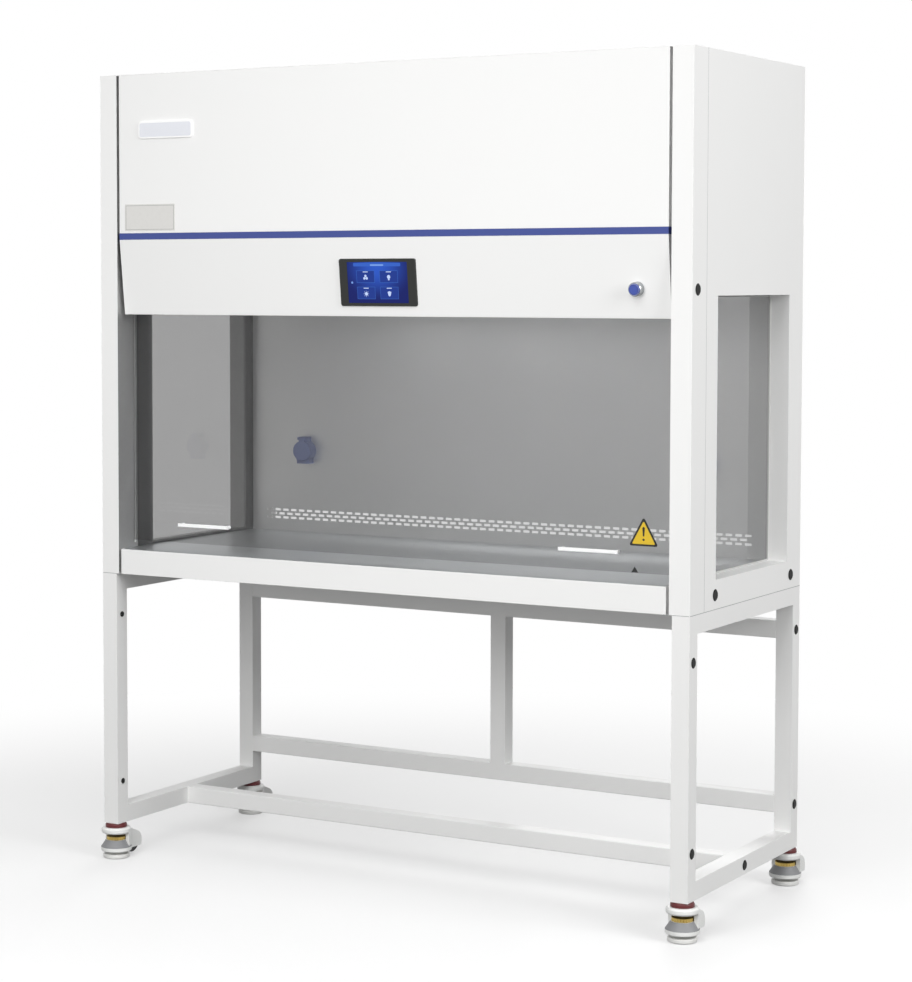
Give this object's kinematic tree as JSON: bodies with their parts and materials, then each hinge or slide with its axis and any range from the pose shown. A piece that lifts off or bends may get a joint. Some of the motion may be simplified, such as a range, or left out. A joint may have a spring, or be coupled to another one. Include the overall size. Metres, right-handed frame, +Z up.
{
  "type": "laminar flow hood",
  "caption": "Laminar flow hood with sliding front glass, side windows, steel worktop and a tube stand on levelling castors.",
  "frame": {"origin": "middle of the bounding box in X and Y, on the floor", "axes": "+Z up, -Y towards the user who faces the sliding glass, +X to the user's right"},
  "size_m": [1.5326, 0.6923, 1.848],
  "materials": {
    "white_enamel": "satin warm white powder coat",
    "front_enamel": "satin warm white powder coat",
    "blue_strip": "satin blue",
    "stainless": "brushed stainless steel",
    "clear_glass": "clear float glass",
    "black_plastic": "moulded black",
    "grey_plastic": "slate blue moulded",
    "dark_plastic": "dark grey moulded",
    "red_plastic": "dark red moulded",
    "bright_metal": "polished",
    "button_cap": "blue",
    "cast_white": "enamelled casting",
    "nylon": "black nylon",
    "foot_metal": "turned, dull",
    "galvanised": "galvanised sheet",
    "filter_paper": "pleated paper in a light frame",
    "steel": "bare steel",
    "tube_glass": "frosted lamp glass"
  },
  "bodies": {
    "hood": {"side_frame_left": "white_enamel", "side_frame_right": "white_enamel", "rear_frame": "white_enamel", "foot_rail": "white_enamel", "hole_plugs": "black_plastic", "castor_studs": "red_plastic", "side_panel_left": "white_enamel", "side_panel_right": "white_enamel", "front_column_left": "white_enamel", "front_column_right": "white_enamel", "side_glass_left": "clear_glass", "side_glass_right": "clear_glass", "base_pan": "white_enamel", "worktop_bearers": "galvanised", "apron": "front_enamel", "worktop": "stainless", "back_wall": "stainless", "rear_cover": "white_enamel", "power_inlet": "dark_plastic", "top_cover": "white_enamel", "upper_front_cover": "front_enamel", "trim_strip": "blue_strip", "control_panel": "front_enamel", "touch_panel": "dark_plastic", "button_bezel": "bright_metal", "socket_left": "grey_plastic", "socket_right": "grey_plastic", "air_filter": "filter_paper", "diffuser": "white_enamel", "fan_housing": "galvanised", "fan_motor": "steel", "prefilter": "filter_paper", "lamp_fixture": "white_enamel", "lamp_tube": "tube_glass", "uv_tube": "tube_glass"},
    "sash": {"sash_glass": "clear_glass", "sash_top_bar": "stainless", "sash_handle_left": "bright_metal", "sash_handle_right": "bright_metal"},
    "push_button": {"push_button": "button_cap"},
    "impeller": {"impeller": "galvanised"},
    "counterweight_left": {"counterweight_left": "steel"},
    "sash_pulley_left": {"sash_pulley_left": "dark_plastic"},
    "socket_lid_left": {"socket_lid_left": "grey_plastic"},
    "counterweight_right": {"counterweight_right": "steel"},
    "sash_pulley_right": {"sash_pulley_right": "dark_plastic"},
    "socket_lid_right": {"socket_lid_right": "grey_plastic"},
    "castor_front_left": {"castor_housing_front_left": "cast_white"},
    "wheel_front_left": {"castor_wheel_front_left": "nylon"},
    "foot_front_left": {"castor_foot_front_left": "foot_metal"},
    "castor_front_right": {"castor_housing_front_right": "cast_white"},
    "wheel_front_right": {"castor_wheel_front_right": "nylon"},
    "foot_front_right": {"castor_foot_front_right": "foot_metal"},
    "castor_rear_left": {"castor_housing_rear_left": "cast_white"},
    "wheel_rear_left": {"castor_wheel_rear_left": "nylon"},
    "foot_rear_left": {"castor_foot_rear_left": "foot_metal"},
    "castor_rear_right": {"castor_housing_rear_right": "cast_white"},
    "wheel_rear_right": {"castor_wheel_rear_right": "nylon"},
    "foot_rear_right": {"castor_foot_rear_right": "foot_metal"}
  },
  "joints": [
    {"name": "castor_swivel_front_left", "type": "hinge", "parent": "hood", "child": "castor_front_left", "pos_m": [-0.73, -0.30985, 0.06], "axis": [0, 0, 1], "continuous": true},
    {"name": "wheel_spin_front_left", "type": "hinge", "parent": "castor_front_left", "child": "wheel_front_left", "pos_m": [-0.73, -0.25685, 0.028], "axis": [1, 0, 0], "continuous": true},
    {"name": "foot_level_front_left", "type": "slide", "parent": "castor_front_left", "child": "foot_front_left", "axis": [0, 0, 1], "range_m": [0, 0.0065]},
    {"name": "castor_swivel_front_right", "type": "hinge", "parent": "hood", "child": "castor_front_right", "pos_m": [0.73, -0.30985, 0.06], "axis": [0, 0, 1], "continuous": true},
    {"name": "wheel_spin_front_right", "type": "hinge", "parent": "castor_front_right", "child": "wheel_front_right", "pos_m": [0.73, -0.25685, 0.028], "axis": [1, 0, 0], "continuous": true},
    {"name": "foot_level_front_right", "type": "slide", "parent": "castor_front_right", "child": "foot_front_right", "axis": [0, 0, 1], "range_m": [0, 0.0065]},
    {"name": "castor_swivel_rear_left", "type": "hinge", "parent": "hood", "child": "castor_rear_left", "pos_m": [-0.73, 0.26815, 0.06], "axis": [0, 0, 1], "continuous": true},
    {"name": "wheel_spin_rear_left", "type": "hinge", "parent": "castor_rear_left", "child": "wheel_rear_left", "pos_m": [-0.73, 0.32115, 0.028], "axis": [1, 0, 0], "continuous": true},
    {"name": "foot_level_rear_left", "type": "slide", "parent": "castor_rear_left", "child": "foot_rear_left", "axis": [0, 0, 1], "range_m": [0, 0.0065]},
    {"name": "castor_swivel_rear_right", "type": "hinge", "parent": "hood", "child": "castor_rear_right", "pos_m": [0.73, 0.26815, 0.06], "axis": [0, 0, 1], "continuous": true},
    {"name": "wheel_spin_rear_right", "type": "hinge", "parent": "castor_rear_right", "child": "wheel_rear_right", "pos_m": [0.73, 0.32115, 0.028], "axis": [1, 0, 0], "continuous": true},
    {"name": "foot_level_rear_right", "type": "slide", "parent": "castor_rear_right", "child": "foot_rear_right", "axis": [0, 0, 1], "range_m": [0, 0.0065]},
    {"name": "sash_slide", "type": "slide", "parent": "hood", "child": "sash", "axis": [0, 0, 1], "range_m": [0, 0.48]},
    {"name": "counterweight_slide_left", "type": "slide", "parent": "hood", "child": "counterweight_left", "axis": [0, 0, 1], "range_m": [-0.48, 0]},
    {"name": "pulley_spin_left", "type": "hinge", "parent": "hood", "child": "sash_pulley_left", "pos_m": [-0.72, -0.26485, 1.825], "axis": [0, 1, 0], "continuous": true},
    {"name": "socket_lid_hinge_left", "type": "hinge", "parent": "hood", "child": "socket_lid_left", "pos_m": [-0.535, 0.21065, 0.977], "axis": [-1, 0, 0], "range_deg": [0, 110], "stiffness_Nm_per_rad": 0.05},
    {"name": "counterweight_slide_right", "type": "slide", "parent": "hood", "child": "counterweight_right", "axis": [0, 0, 1], "range_m": [-0.48, 0]},
    {"name": "pulley_spin_right", "type": "hinge", "parent": "hood", "child": "sash_pulley_right", "pos_m": [0.72, -0.26485, 1.825], "axis": [0, 1, 0], "continuous": true},
    {"name": "socket_lid_hinge_right", "type": "hinge", "parent": "hood", "child": "socket_lid_right", "pos_m": [0.535, 0.21065, 0.977], "axis": [-1, 0, 0], "range_deg": [0, 110], "stiffness_Nm_per_rad": 0.05},
    {"name": "button_press", "type": "slide", "parent": "hood", "child": "push_button", "axis": [0, 0.9935, 0.1142], "range_m": [0, 0.0025], "stiffness_N_per_m": 900},
    {"name": "impeller_spin", "type": "hinge", "parent": "hood", "child": "impeller", "pos_m": [0, 0.00915, 1.49], "axis": [0, 0, 1], "continuous": true}
  ],
  "couplings": [
    {"joint": "counterweight_slide_left", "follows": "sash_slide", "ratio": -1},
    {"joint": "pulley_spin_left", "follows": "sash_slide", "rad_per_m": -105.26},
    {"joint": "counterweight_slide_right", "follows": "sash_slide", "ratio": -1},
    {"joint": "pulley_spin_right", "follows": "sash_slide", "rad_per_m": 105.26}
  ]
}
